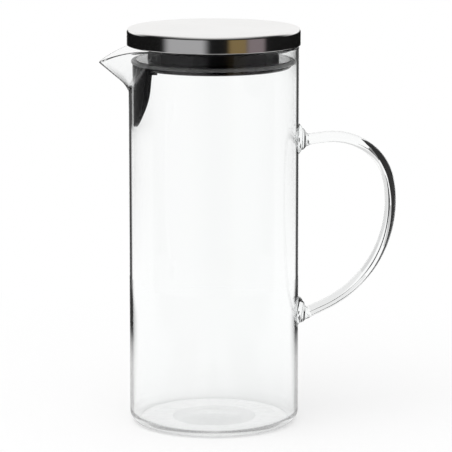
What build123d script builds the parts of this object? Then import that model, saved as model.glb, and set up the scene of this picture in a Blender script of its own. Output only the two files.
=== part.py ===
from build123d import *
import os
from math import asin, degrees, hypot, sqrt

# Glass pitcher with a lift-off lid, in millimetres.
# +Z is up, and the origin is on the jug's axis, on the surface that it stands on.
# The spout points along -X and the handle along +X.

# Glass body
glass_radius = 52.5
glass_wall = 2.0
rim_height = 235.6
foot_radius = 7.0
base_thickness = 3.0
push_up_radius = 26.0
push_up_depth = 1.2

# Spout: its ridge bends out of the wall at the root and leans out by the flare for each unit of height.
# The rim dips towards the spout along an arc that starts this far inside the wall.
spout_height = 25.9
spout_flare = 1.19
spout_bend_height = 9.0
spout_root_radius = 8.0
spout_tip_radius = 3.6
spout_wall = 1.9
spout_tuck = 0.4
spout_emerge = 0.1
spout_levels = 8
dip_inset = 17.5
dip_radius = 67.0
trim_margin = 2.0

# Handle: a rod with straight ends and three tangent bends, turned by degrees, and two flared welds
rod_radius = 3.45
weld_radius = 11.8
weld_throat_radius = 5.2
weld_throat_reach = 3.6
weld_reach = 6.5
weld_sink = 2.0
grip_start_height = 177.4
grip_rise_angle = 8.0
grip_upper_length = 9.0
upper_bend_radius = 38.0
upper_bend_angle = 42.0
outer_bend_radius = 32.0
outer_bend_angle = 45.0
lower_bend_radius = 71.0
lower_bend_angle = 75.5

# Lid: a steel cap over a moulded core that rests on the rim
seat_gap = 0.2
cap_overhang = 1.1
cap_sheet = 0.8
cap_edge_radius = 2.5
cap_height = 10.4
cap_hem_gap = 0.4
cap_fit = 0.1
mould_wall = 2.4
hub_depth = 8.5

# Base plate under the hub, with the groove for the seal
plate_wall_gap = 3.1
flange_width = 7.3
plate_depth = 5.0
plate_edge_radius = 1.0
groove_lip = 0.6
groove_height = 1.5
groove_depth = 2.2
spigot_height = 2.5
spigot_fit = 0.1

# Seal ring
seal_wall_gap = 0.3
seal_groove_gap = 0.3
seal_play = 0.1
seal_lip_gap = 0.3
seal_height = 2.1

# Pour tongue, which hangs from the base plate along the wall behind the spout
tongue_wall_gap = 1.0
tongue_length = 38.8
tongue_top_half_width = 29.0
tongue_tip_half_width = 22.7
tongue_corner_radius = 22.0
tongue_seal_gap = 0.3
ledge_width = 3.4
ledge_thickness = 1.6

os.makedirs("parts", exist_ok=True)

inner_radius = glass_radius - glass_wall
trim_height = rim_height + trim_margin
bend_bottom = rim_height - spout_height - spout_bend_height / 2 - spout_tuck / spout_flare


def spout_reach(height):
    """Distance from the axis to the outside of the spout's ridge at a height, along its bend or above it."""
    rise = height - bend_bottom
    bent = min(rise, spout_bend_height)
    return glass_radius - spout_tuck + spout_flare * (bent**2 / (2 * spout_bend_height) + rise - bent)


def spout_sections(wall_radius, ridge_inset, tip_inset):
    """Level sections of the spout on one face of the wall, each the hull of the round wall and the ridge."""
    throat = wall_radius - spout_tuck
    start_lean = throat + spout_emerge + ridge_inset - glass_radius + spout_tuck
    start = bend_bottom + sqrt(2 * spout_bend_height * start_lean / spout_flare)
    sections = []
    for level in range(spout_levels):
        share = level / (spout_levels - 1)
        height = start + (trim_height - start) * share**2
        tip_radius = spout_tip_radius + (spout_root_radius - spout_tip_radius) * (1 - share) ** 2 - tip_inset
        with BuildSketch(Plane.XY.offset(height)) as section:
            Circle(throat)
            with Locations((tip_radius + ridge_inset - spout_reach(height), 0)):
                Circle(tip_radius)
            make_hull()
        sections.append(section.sketch)
    return sections


def dome_section(height):
    """Half of the push-up's section, a shallow arc over the level that it rises from."""
    sphere_radius = (push_up_radius**2 + push_up_depth**2) / (2 * push_up_depth)
    half_angle = degrees(asin(push_up_radius / sphere_radius))
    crown_height = height + push_up_depth
    with BuildSketch(Plane.XZ) as section:
        with BuildLine():
            crown = JernArc((0, crown_height), (1, 0), sphere_radius, -half_angle)
            Polyline(crown @ 1, (0, height), (0, crown_height))
        make_face()
    return section.sketch


# Inside of the glass
with BuildPart() as cavity:
    with BuildSketch(Plane.XZ):
        with Locations((0, base_thickness)):
            Rectangle(inner_radius, trim_height - base_thickness, align=(Align.MIN, Align.MIN))
    revolve(axis=Axis.Z)
    fillet(cavity.edges().sort_by(Axis.Z)[0], foot_radius - glass_wall)
    loft(spout_sections(inner_radius, spout_wall * hypot(1, spout_flare), spout_wall))
    revolve(dome_section(base_thickness), axis=Axis.Z, mode=Mode.SUBTRACT)

# Glass body: a tube with a rounded foot and a pulled spout, hollowed and trimmed at the rim
dip_start = glass_radius - dip_inset
with BuildPart() as glass_body:
    with BuildSketch(Plane.XZ):
        Rectangle(glass_radius, trim_height, align=(Align.MIN, Align.MIN))
    revolve(axis=Axis.Z)
    fillet(glass_body.edges().sort_by(Axis.Z)[0], foot_radius)
    loft(spout_sections(glass_radius, 0, 0))
    add(cavity.part, mode=Mode.SUBTRACT)
    revolve(dome_section(0), axis=Axis.Z, mode=Mode.SUBTRACT)
    with BuildSketch(Plane.XZ):
        with BuildLine():
            dip_turn = degrees(asin((spout_reach(trim_height) + trim_margin - dip_start) / dip_radius))
            dip = JernArc((-dip_start, rim_height), (-1, 0), dip_radius, dip_turn)
            waste_height = trim_height + trim_margin
            waste_radius = glass_radius + trim_margin
            Polyline(
                dip @ 1,
                ((dip @ 1).X, waste_height),
                (waste_radius, waste_height),
                (waste_radius, rim_height),
                (-dip_start, rim_height),
            )
        make_face()
    extrude(amount=waste_radius, both=True, mode=Mode.SUBTRACT)
glass_body.part.label = "glass_body"
export_step(glass_body.part, "parts/glass_body.step")

# Handle: a bent rod, flared at both ends, with the flares cut to the round of the wall
weld_face = glass_radius + weld_reach
with BuildPart() as handle:
    with BuildLine(Plane.XZ) as grip:
        upper_run = PolarLine((weld_face, grip_start_height), grip_upper_length, grip_rise_angle)
        upper_bend = JernArc(upper_run @ 1, upper_run % 1, upper_bend_radius, -upper_bend_angle)
        outer_bend = JernArc(upper_bend @ 1, upper_bend % 1, outer_bend_radius, -outer_bend_angle)
        lower_bend = JernArc(outer_bend @ 1, outer_bend % 1, lower_bend_radius, -lower_bend_angle)
        PolarLine(lower_bend @ 1, Plane.YZ.offset(weld_face), direction=lower_bend % 1)
    upper_end = Plane(grip.line @ 0, x_dir=(0, 1, 0), z_dir=grip.line % 0)
    lower_end = Plane(grip.line @ 1, x_dir=(0, 1, 0), z_dir=-(grip.line % 1))
    with BuildSketch(upper_end):
        Circle(rod_radius)
    sweep()
    for rod_end in (upper_end, lower_end):
        weld_height = rod_end.origin.Z
        with BuildSketch(Plane.YZ.offset(glass_radius - weld_sink)):
            with Locations((0, weld_height)):
                Circle(weld_radius)
        with BuildSketch(Plane.YZ.offset(glass_radius + weld_throat_reach)):
            with Locations((0, weld_height)):
                Circle(weld_throat_radius)
        with BuildSketch(rod_end):
            Circle(rod_radius)
        loft()
    Cylinder(glass_radius, rim_height, align=(Align.CENTER, Align.CENTER, Align.MIN), mode=Mode.SUBTRACT)
handle.part.label = "handle"
export_step(handle.part, "parts/handle.step")

# Steel cap: a shallow drawn cup with a rounded edge, open below
cap_radius = glass_radius + cap_overhang
core_bottom = rim_height + seat_gap
cap_bottom = core_bottom + cap_hem_gap
cap_top = cap_bottom + cap_height
with BuildPart() as steel_cap:
    with BuildSketch(Plane.XY.offset(cap_bottom)):
        Circle(cap_radius)
    extrude(amount=cap_height)
    fillet(steel_cap.edges().sort_by(Axis.Z)[-1], cap_edge_radius)
    offset(amount=-cap_sheet, openings=steel_cap.faces().sort_by(Axis.Z)[0])
steel_cap.part.label = "steel_cap"
export_step(steel_cap.part, "parts/steel_cap.step")

# Lid core: a cored moulding, with a disc that rests on the rim and a hollow hub below it
plate_radius = inner_radius - plate_wall_gap
hub_radius = plate_radius - flange_width
core_radius = cap_radius - cap_sheet - cap_fit
core_top = cap_top - cap_sheet
core_edge = cap_edge_radius - cap_sheet + cap_fit
hub_bottom = core_bottom - hub_depth
hub_bore_radius = hub_radius - mould_wall
with BuildPart() as lid_core:
    with BuildSketch(Plane.XZ) as core_section:
        with BuildLine():
            Polyline(
                (0, core_top),
                (hub_radius + mould_wall, core_top),
                (hub_radius + mould_wall, core_bottom + mould_wall),
                (core_radius - mould_wall, core_bottom + mould_wall),
                (core_radius - mould_wall, core_top),
                (core_radius, core_top),
                (core_radius, core_bottom),
                (hub_radius, core_bottom),
                (hub_radius, hub_bottom),
                (hub_bore_radius, hub_bottom),
                (hub_bore_radius, core_top - mould_wall),
                (0, core_top - mould_wall),
                close=True,
            )
        make_face()
        chamfer(core_section.vertices().group_by(Axis.X)[-1].sort_by(Axis.Y)[-1], core_edge)
    revolve(axis=Axis.Z)
lid_core.part.label = "lid_core"
export_step(lid_core.part, "parts/lid_core.step")

# Base plate: closes the hub, located by a spigot in its bore, with a groove round the flange for the seal
plate_bottom = hub_bottom - plate_depth
groove_top = hub_bottom - groove_lip
groove_bottom = groove_top - groove_height
groove_radius = plate_radius - groove_depth
spigot_radius = hub_bore_radius - spigot_fit
with BuildPart() as base_plate:
    with BuildSketch(Plane.XZ) as plate_section:
        with BuildLine():
            Polyline(
                (0, plate_bottom),
                (plate_radius, plate_bottom),
                (plate_radius, groove_bottom),
                (groove_radius, groove_bottom),
                (groove_radius, groove_top),
                (plate_radius, groove_top),
                (plate_radius, hub_bottom),
                (spigot_radius, hub_bottom),
                (spigot_radius, hub_bottom + spigot_height),
                (spigot_radius - mould_wall, hub_bottom + spigot_height),
                (spigot_radius - mould_wall, plate_bottom + mould_wall),
                (0, plate_bottom + mould_wall),
                close=True,
            )
        make_face()
        fillet(plate_section.vertices().group_by(Axis.X)[-1].sort_by(Axis.Y)[0], plate_edge_radius)
    revolve(axis=Axis.Z)
base_plate.part.label = "base_plate"
export_step(base_plate.part, "parts/base_plate.step")

# Seal ring: a root in the plate's groove and a taller lip against the glass
seal_middle = (groove_top + groove_bottom) / 2
seal_root_height = groove_height - 2 * seal_play
seal_root_radius = groove_radius + seal_groove_gap
seal_lip_radius = plate_radius + seal_lip_gap
seal_radius = inner_radius - seal_wall_gap
with BuildPart() as seal_ring:
    with BuildSketch(Plane.XZ):
        with Locations((seal_root_radius, seal_middle)):
            Rectangle(seal_radius - seal_root_radius, seal_root_height, align=(Align.MIN, Align.CENTER))
        with Locations((seal_lip_radius, seal_middle)):
            Rectangle(seal_radius - seal_lip_radius, seal_height, align=(Align.MIN, Align.CENTER))
    revolve(axis=Axis.Z)
seal_ring.part.label = "seal_ring"
export_step(seal_ring.part, "parts/seal_ring.step")

# Pour tongue: a curved apron with rounded lower corners and a ledge that seats under the base plate
tongue_radius = inner_radius - tongue_wall_gap
tongue_top = seal_middle - seal_height / 2 - tongue_seal_gap
tongue_tip = tongue_top - tongue_length
with BuildPart() as pour_tongue:
    with BuildSketch(Plane.XZ):
        with Locations((plate_radius, tongue_tip)):
            Rectangle(tongue_radius - plate_radius, tongue_length, align=(Align.MIN, Align.MIN))
        with Locations((plate_radius, plate_bottom)):
            Rectangle(ledge_width, ledge_thickness, align=(Align.MAX, Align.MAX))
    revolve(axis=Axis.Z)
    with BuildSketch(Plane.YZ) as apron:
        with BuildLine():
            Polyline(
                (-tongue_top_half_width, tongue_top),
                (-tongue_tip_half_width, tongue_tip),
                (tongue_tip_half_width, tongue_tip),
                (tongue_top_half_width, tongue_top),
                close=True,
            )
        make_face()
        fillet(apron.vertices().group_by(Axis.Y)[0], tongue_corner_radius)
    extrude(amount=-glass_radius, mode=Mode.INTERSECT)
pour_tongue.part.label = "pour_tongue"
export_step(pour_tongue.part, "parts/pour_tongue.step")
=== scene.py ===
"""Glass pitcher with a steel lid: the looks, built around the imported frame.

The jug's axis is Z, the spout points along -X and the handle along +X. Sizes are in millimetres, as on the
maker's drawing, and every mesh is written in metres.
"""

from __future__ import annotations

import logging
import math
from dataclasses import dataclass
from enum import Enum
from typing import Any, Callable, Sequence

import bmesh
import bpy
import numpy as np
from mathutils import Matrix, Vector

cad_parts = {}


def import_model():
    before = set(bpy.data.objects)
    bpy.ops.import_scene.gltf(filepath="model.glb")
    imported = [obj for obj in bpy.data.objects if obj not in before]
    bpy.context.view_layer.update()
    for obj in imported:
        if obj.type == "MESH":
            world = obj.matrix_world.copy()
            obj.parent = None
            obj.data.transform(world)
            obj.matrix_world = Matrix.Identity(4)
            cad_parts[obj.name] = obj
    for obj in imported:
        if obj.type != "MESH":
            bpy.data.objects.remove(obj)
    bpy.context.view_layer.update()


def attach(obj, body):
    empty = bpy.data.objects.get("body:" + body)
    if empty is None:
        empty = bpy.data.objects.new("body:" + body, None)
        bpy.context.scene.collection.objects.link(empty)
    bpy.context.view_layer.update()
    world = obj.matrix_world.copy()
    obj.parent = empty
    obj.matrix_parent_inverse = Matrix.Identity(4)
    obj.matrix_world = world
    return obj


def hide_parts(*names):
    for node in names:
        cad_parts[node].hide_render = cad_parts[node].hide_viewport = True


LOG = logging.getLogger("pitcher")
Colour = tuple[float, float, float, float]
Socket = bpy.types.NodeSocket
MM = 0.001
DEGREES = 180.0 / math.pi  # in one radian
RIGHT_ANGLE = 90.0
WHITE = (1.0, 1.0, 1.0, 1.0)
IMAGE_PIXELS = 452
ARC_STEPS = 7  # faces round a rounded corner
SUPPORT = 0.35  # straight run kept beside it, in millimetres
SUPPORT_SHARE = 0.3  # the most of a short side that such a run takes
CREASE_ANGLE = math.radians(40.0)  # steeper edges stay sharp
TURN_SEGMENTS = 240
TURN_GUIDE = 50.0  # radius of the ring that sections run on, in millimetres
MERGE_GAP = 0.000002  # in metres
ROD_SIDES = 64


class Body(Enum):
    """Moving bodies of the frame."""

    GLASS = "glass"
    SEAL = "seal"
    LID = "lid"


class Slot(Enum):
    """Material slots of the record."""

    GLASS = "glass"
    STEEL = "steel"
    PLASTIC = "black_plastic"
    SILICONE = "silicone"


class Blend(Enum):
    """How numbers are joined or changed in a node tree."""

    ADD = "ADD"
    SUBTRACT = "SUBTRACT"
    MULTIPLY = "MULTIPLY"
    MAXIMUM = "MAXIMUM"
    MINIMUM = "MINIMUM"
    LESS_THAN = "LESS_THAN"
    GREATER_THAN = "GREATER_THAN"
    ARCTAN2 = "ARCTAN2"
    ARCSINE = "ARCSINE"
    ABSOLUTE = "ABSOLUTE"
    SQRT = "SQRT"


class Tree:
    """A node tree with short calls for adding and joining nodes."""

    def __init__(self, nodes: bpy.types.NodeTree) -> None:
        """Keeps the tree.

        Args:
            nodes: The tree to fill.
        """
        self.tree = nodes

    def add(self, kind: str, **settings: Any) -> bpy.types.Node:
        """Adds a node.

        Args:
            kind: The node's type name.
            **settings: Properties to set on the node.

        Returns:
            The new node.
        """
        node = self.tree.nodes.new(kind)
        for name, value in settings.items():
            setattr(node, name, value)
        return node

    def put(self, socket: Socket, value: Any) -> None:
        """Gives a socket a link or a plain value.

        Args:
            socket: The input.
            value: Another node's output, or a value.
        """
        if isinstance(value, Socket):
            self.tree.links.new(value, socket)
        else:
            socket.default_value = value

    def axes(self, place: Socket) -> bpy.types.bpy_prop_collection:
        """Splits coordinates into X, Y and Z.

        Args:
            place: The coordinates.

        Returns:
            The three outputs.
        """
        node = self.add("ShaderNodeSeparateXYZ")
        self.put(node.inputs[0], place)
        return node.outputs

    def math(self, how: Blend, first: Any, second: Any = None) -> Socket:
        """Joins one or two numbers.

        Args:
            how: The operation.
            first: A socket or a number.
            second: A socket or a number, where the operation has two.

        Returns:
            The result's socket.
        """
        node = self.add("ShaderNodeMath", operation=how.value)
        self.put(node.inputs[0], first)
        if second is not None:
            self.put(node.inputs[1], second)
        return node.outputs[0]

    def times(self, first: Any, *others: Any) -> Socket:
        """Multiplies numbers.

        Args:
            first: A socket or a number.
            *others: More of them.

        Returns:
            The product's socket.
        """
        for other in others:
            first = self.math(Blend.MULTIPLY, first, other)
        return first

    def ramp(self, value: Any, low: float, high: float, start: float = 0.0, end: float = 1.0) -> Socket:
        """Eases a number from one value to another.

        Args:
            value: The number that drives it.
            low: Where the change begins.
            high: Where it ends.
            start: The result below the change.
            end: The result above it.

        Returns:
            The result's socket.
        """
        node = self.add("ShaderNodeMapRange", interpolation_type="SMOOTHSTEP")
        for socket, setting in zip(node.inputs, (value, low, high, start, end)):
            self.put(socket, setting)
        return node.outputs[0]

    def window(self, value: Any, low: float, high: float, soft: float) -> Socket:
        """Gives 1 between two limits and 0 outside, with soft edges.

        Args:
            value: The number that is tested.
            low: The lower limit.
            high: The upper limit.
            soft: The width of each edge.

        Returns:
            The result's socket.
        """
        rise = self.ramp(value, low - soft / 2, low + soft / 2)
        fall = self.ramp(value, high - soft / 2, high + soft / 2, 1.0, 0.0)
        return self.times(rise, fall)

    def mix(self, share: Any, first: Any, second: Any) -> Socket:
        """Mixes two colours.

        Args:
            share: How much of the second shows.
            first: A colour or its socket.
            second: A colour or its socket.

        Returns:
            The mixed colour's socket.
        """
        node = self.add("ShaderNodeMix", data_type="RGBA")
        self.put(node.inputs["Factor"], share)
        colours = [s for s in node.inputs if s.type == "RGBA"]
        self.put(colours[0], first)
        self.put(colours[1], second)
        return next(s for s in node.outputs if s.type == "RGBA")

    def layer(self, share: Any, first: Socket, second: Socket) -> Socket:
        """Mixes two shaders.

        Args:
            share: How much of the second shows.
            first: A shader's socket.
            second: A shader's socket.

        Returns:
            The mixed shader's socket.
        """
        node = self.add("ShaderNodeMixShader")
        for socket, value in zip(node.inputs, (share, first, second)):
            self.put(socket, value)
        return node.outputs[0]

    def noise(self, where: Any, scale: float, detail: float = 3.0) -> Socket:
        """Adds a noise pattern.

        Args:
            where: Coordinates.
            scale: Repeats to the metre.
            detail: Octaves.

        Returns:
            The pattern's value socket.
        """
        node = self.add("ShaderNodeTexNoise")
        self.put(node.inputs["Vector"], where)
        node.inputs["Scale"].default_value = scale
        node.inputs["Detail"].default_value = detail
        return node.outputs[0]

    def stretch(self, where: Any, scale: Sequence[float]) -> Socket:
        """Scales coordinates along each axis.

        Args:
            where: Coordinates.
            scale: The three factors.

        Returns:
            The new coordinates.
        """
        node = self.add("ShaderNodeMapping")
        self.put(node.inputs["Vector"], where)
        node.inputs["Scale"].default_value = scale
        return node.outputs[0]

    def bump(self, height: Any, depth: float, strength: float) -> Socket:
        """Turns a pattern into a surface's fine relief.

        Args:
            height: The pattern.
            depth: The relief's depth in metres.
            strength: From 0 to 1.

        Returns:
            The normal's socket.
        """
        node = self.add("ShaderNodeBump")
        self.put(node.inputs["Height"], height)
        node.inputs["Distance"].default_value = depth
        node.inputs["Strength"].default_value = strength
        return node.outputs[0]


def bare_material(name: str) -> tuple[bpy.types.Material, Tree, bpy.types.Node]:
    """Starts a material that has only its output.

    Args:
        name: The material's name.

    Returns:
        The material, its tree and the output.
    """
    material = bpy.data.materials.new(name)
    material.use_nodes = True
    material.node_tree.nodes.clear()
    tree = Tree(material.node_tree)
    return material, tree, tree.add("ShaderNodeOutputMaterial")


def new_material(name: str) -> tuple[bpy.types.Material, Tree, bpy.types.Node, Socket]:
    """Starts a material with one surface shader.

    Args:
        name: The material's name.

    Returns:
        The material, its tree, the shader and the object's coordinates.
    """
    material, tree, output = bare_material(name)
    shader = tree.add("ShaderNodeBsdfPrincipled")
    tree.put(output.inputs["Surface"], shader.outputs[0])
    return material, tree, shader, tree.add("ShaderNodeTexCoord").outputs["Object"]


@dataclass(frozen=True)
class Welds:
    """Where the handle's welds sit on the round wall."""

    wall: float
    foot: float
    heights: tuple[float, ...]


@dataclass(frozen=True)
class ClearGlass:
    """Thin blown glass, with a faint draw in its surface and a trace of grey-green in its body."""

    name: str = "clear_glass"
    ior: float = 1.46
    clear: Colour = (1.0, 1.0, 1.0, 1.0)
    tinted: Colour = (0.982, 0.992, 0.99, 1.0)
    sheen: Colour = (0.4, 0.4, 0.41, 1.0)
    draw_stretch: tuple[float, float, float] = (1.0, 1.0, 0.25)
    draw_scale: float = 14.0
    draw_depth: float = 0.00002
    draw_strength: float = 0.4
    absorb: Colour = (0.86, 0.92, 0.92, 1.0)
    absorb_density: float = 3.0
    skin_under: float = 0.8
    skin_over: float = 0.05
    skin_soft: float = 0.02

    def fused(self, tree: Tree, place: Socket, welds: Welds) -> Socket:
        """Finds the skin between a weld and the wall, which is one body of glass there.

        Args:
            tree: The material's tree.
            place: The object's coordinates.
            welds: Where the welds are.

        Returns:
            A socket with 1 on that skin and 0 elsewhere.
        """
        x, y, z = tree.axes(place)
        across = tree.times(y, y)
        out = tree.math(Blend.SQRT, tree.math(Blend.ADD, tree.times(x, x), across))
        low, high = welds.wall - self.skin_under, welds.wall + self.skin_over
        skin = tree.window(out, low * MM, high * MM, self.skin_soft * MM)
        skin = tree.times(skin, tree.math(Blend.GREATER_THAN, x, 0.0))
        feet: Any = 0.0
        for height in welds.heights:
            rise = tree.math(Blend.SUBTRACT, z, height * MM)
            off = tree.math(Blend.SQRT, tree.math(Blend.ADD, tree.times(rise, rise), across))
            feet = tree.math(Blend.MAXIMUM, feet, tree.math(Blend.LESS_THAN, off, welds.foot * MM))
        return tree.times(skin, feet)

    def material(self, welds: Welds) -> bpy.types.Material:
        """Builds the material, which bends no light inside a weld.

        Args:
            welds: Where the welds are.

        Returns:
            The material.
        """
        material, tree, shader, place = new_material(self.name)
        draw = tree.noise(tree.stretch(place, self.draw_stretch), self.draw_scale, 1.0)
        tree.put(shader.inputs["Base Color"], tree.mix(draw, self.clear, self.tinted))
        shader.inputs["Specular Tint"].default_value = self.sheen
        shader.inputs["Transmission Weight"].default_value = 1.0
        shader.inputs["IOR"].default_value = self.ior
        tree.put(shader.inputs["IOR"], tree.ramp(self.fused(tree, place, welds), 0.0, 1.0, self.ior, 1.0))
        shader.inputs["Roughness"].default_value = 0.0
        tree.put(shader.inputs["Normal"], tree.bump(draw, self.draw_depth, self.draw_strength))
        body = tree.add("ShaderNodeVolumeAbsorption")
        body.inputs["Color"].default_value = self.absorb
        body.inputs["Density"].default_value = self.absorb_density
        output = next(n for n in material.node_tree.nodes if n.type == "OUTPUT_MATERIAL")
        tree.put(output.inputs["Volume"], body.outputs[0])
        return material


@dataclass(frozen=True)
class PressedSteel:
    """Stainless steel sheet, brushed on its flat top and polished on its band."""

    name: str = "pressed_steel"
    light: Colour = (0.9, 0.895, 0.885, 1.0)
    dark: Colour = (0.84, 0.835, 0.825, 1.0)
    cloud_scale: float = 30.0
    top_height: float = 246.2
    top_fade: float = 0.5
    top_roughness: float = 0.3
    top_spread: float = 0.16
    band_roughness: float = 0.09
    band_spread: float = 0.05
    brush_stretch: tuple[float, float, float] = (0.02, 1.0, 1.0)
    brush_scale: float = 900.0
    brush_detail: float = 4.0
    brush_depth: float = 0.000004
    brush_strength: float = 0.5

    def material(self) -> bpy.types.Material:
        """Builds the material.

        Returns:
            The material.
        """
        material, tree, shader, place = new_material(self.name)
        height = tree.axes(place)["Z"]
        top = tree.ramp(height, (self.top_height - self.top_fade) * MM, self.top_height * MM)
        brush = tree.noise(tree.stretch(place, self.brush_stretch), self.brush_scale, self.brush_detail)
        cloud = tree.noise(place, self.cloud_scale)
        tree.put(shader.inputs["Base Color"], tree.mix(cloud, self.light, self.dark))
        shader.inputs["Metallic"].default_value = 1.0
        grain = tree.times(tree.math(Blend.SUBTRACT, brush, 0.5), self.top_spread)
        rough_top = tree.math(Blend.ADD, grain, self.top_roughness)
        rough_band = tree.math(Blend.ADD, tree.times(cloud, self.band_spread), self.band_roughness)
        rough = tree.add("ShaderNodeMix", data_type="FLOAT")
        tree.put(rough.inputs["Factor"], top)
        tree.put(rough.inputs["A"], rough_band)
        tree.put(rough.inputs["B"], rough_top)
        tree.put(shader.inputs["Roughness"], rough.outputs[0])
        relief = tree.times(brush, top)
        tree.put(shader.inputs["Normal"], tree.bump(relief, self.brush_depth, self.brush_strength))
        return material


@dataclass(frozen=True)
class MouldedPlastic:
    """Black moulded plastic with a fine spark finish and slight flow marks."""

    name: str = "black_moulding"
    deep: Colour = (0.006, 0.006, 0.0065, 1.0)
    worn: Colour = (0.013, 0.013, 0.014, 1.0)
    flow_stretch: tuple[float, float, float] = (1.0, 1.0, 0.3)
    flow_scale: float = 60.0
    gloss: float = 0.1
    gloss_spread: float = 0.06
    specular: float = 0.14
    grain_scale: float = 2600.0
    grain_depth: float = 0.000006
    grain_strength: float = 0.35

    def material(self) -> bpy.types.Material:
        """Builds the material.

        Returns:
            The material.
        """
        material, tree, shader, place = new_material(self.name)
        flow = tree.noise(tree.stretch(place, self.flow_stretch), self.flow_scale)
        tree.put(shader.inputs["Base Color"], tree.mix(flow, self.deep, self.worn))
        spread = tree.times(flow, self.gloss_spread)
        tree.put(shader.inputs["Roughness"], tree.math(Blend.ADD, spread, self.gloss))
        shader.inputs["Specular IOR Level"].default_value = self.specular
        grain = tree.noise(place, self.grain_scale, 2.0)
        tree.put(shader.inputs["Normal"], tree.bump(grain, self.grain_depth, self.grain_strength))
        return material


@dataclass(frozen=True)
class SoftSilicone:
    """Milky silicone that lets light through, with a dull bloom."""

    name: str = "milky_silicone"
    deep: Colour = (0.55, 0.55, 0.55, 1.0)
    bloom: Colour = (0.68, 0.68, 0.68, 1.0)
    cloud_scale: float = 90.0
    clearness: float = 0.85
    ior: float = 1.41
    roughness: float = 0.3
    roughness_spread: float = 0.16
    grain_scale: float = 1800.0
    grain_depth: float = 0.00001
    grain_strength: float = 0.3

    def material(self) -> bpy.types.Material:
        """Builds the material.

        Returns:
            The material.
        """
        material, tree, shader, place = new_material(self.name)
        cloud = tree.noise(place, self.cloud_scale)
        tree.put(shader.inputs["Base Color"], tree.mix(cloud, self.deep, self.bloom))
        shader.inputs["Transmission Weight"].default_value = self.clearness
        shader.inputs["IOR"].default_value = self.ior
        spread = tree.times(cloud, self.roughness_spread)
        tree.put(shader.inputs["Roughness"], tree.math(Blend.ADD, spread, self.roughness))
        grain = tree.noise(place, self.grain_scale, 2.0)
        tree.put(shader.inputs["Normal"], tree.bump(grain, self.grain_depth, self.grain_strength))
        return material


@dataclass(frozen=True)
class Corner:
    """A corner of a turned section, with its rounding."""

    radius: float
    height: float
    rounding: float = 0.0


def rounded_section(corners: Sequence[Corner]) -> list[tuple[float, float]]:
    """Rounds the corners of a closed section, with a short straight run kept beside each arc.

    Args:
        corners: The section's corners in order.

    Returns:
        The section's points, each a radius and a height.
    """
    points: list[tuple[float, float]] = []
    count = len(corners)
    for index, corner in enumerate(corners):
        here = np.array([corner.radius, corner.height])
        if corner.rounding <= 0.0:
            points.append((corner.radius, corner.height))
            continue
        before, after = corners[index - 1], corners[(index + 1) % count]
        back = np.array([before.radius, before.height]) - here
        ahead = np.array([after.radius, after.height]) - here
        back_length, ahead_length = np.linalg.norm(back), np.linalg.norm(ahead)
        back, ahead = back / back_length, ahead / ahead_length
        half = math.acos(float(np.clip(back @ ahead, -1.0, 1.0))) / 2
        reach = corner.rounding / math.tan(half)
        centre = here + (back + ahead) / np.linalg.norm(back + ahead) * corner.rounding / math.sin(half)
        first, last = here + back * reach, here + ahead * reach
        points.append(tuple(first + back * min(SUPPORT, SUPPORT_SHARE * (back_length - reach))))
        start = math.atan2(*(first - centre)[::-1])
        turn = math.atan2(*(last - centre)[::-1]) - start
        turn = (turn + math.pi) % (2 * math.pi) - math.pi
        for step in range(ARC_STEPS + 1):
            angle = start + turn * step / ARC_STEPS
            points.append(tuple(centre + corner.rounding * np.array([math.cos(angle), math.sin(angle)])))
        points.append(tuple(last + ahead * min(SUPPORT, SUPPORT_SHARE * (ahead_length - reach))))
    return points


def soft_maximum(first: Any, second: Any, blend: float) -> np.ndarray:
    """Takes the greater of two values, with an easy change from one to the other where they are near.

    Args:
        first: Values.
        second: Values.
        blend: How near they have to be.

    Returns:
        The values.
    """
    near = np.maximum(blend - np.abs(first - second), 0.0) / blend
    return np.maximum(first, second) + near**2 * blend / 4


def grid_faces(rows: int, columns: int, start: int = 0, closed: bool = False) -> list[tuple[int, ...]]:
    """Lists the faces of a net of points that are numbered row by row.

    Args:
        rows: Rows of points.
        columns: Points to the row.
        start: The first point's number.
        closed: Whether each row runs round to its first point.

    Returns:
        The faces.
    """
    faces = []
    for row in range(rows - 1):
        first = start + row * columns
        for column in range(columns if closed else columns - 1):
            after = (column + 1) % columns
            faces.append((first + column, first + after, first + columns + after, first + columns + column))
    return faces


def new_object(name: str, mesh: bpy.types.Mesh) -> bpy.types.Object:
    """Adds a mesh to the scene as an object.

    Args:
        name: The object's name.
        mesh: Its mesh.

    Returns:
        The object.
    """
    thing = bpy.data.objects.new(name, mesh)
    bpy.context.scene.collection.objects.link(thing)
    return thing


def group_tree(name: str, numbers: dict[str, float]) -> tuple[bpy.types.NodeTree, Tree, bpy.types.Node]:
    """Starts a geometry tree with a geometry input, number inputs and a material input.

    Args:
        name: The tree's name.
        numbers: The number inputs and their defaults.

    Returns:
        The tree, its helper and its input node.
    """
    nodes = bpy.data.node_groups.new(name, "GeometryNodeTree")
    nodes.interface.new_socket("Geometry", in_out="INPUT", socket_type="NodeSocketGeometry")
    nodes.interface.new_socket("Geometry", in_out="OUTPUT", socket_type="NodeSocketGeometry")
    for label, value in numbers.items():
        kind = "NodeSocketInt" if isinstance(value, int) else "NodeSocketFloat"
        socket = nodes.interface.new_socket(label, in_out="INPUT", socket_type=kind)
        socket.default_value = value
    nodes.interface.new_socket("Material", in_out="INPUT", socket_type="NodeSocketMaterial")
    tree = Tree(nodes)
    return nodes, tree, tree.add("NodeGroupInput")


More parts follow.
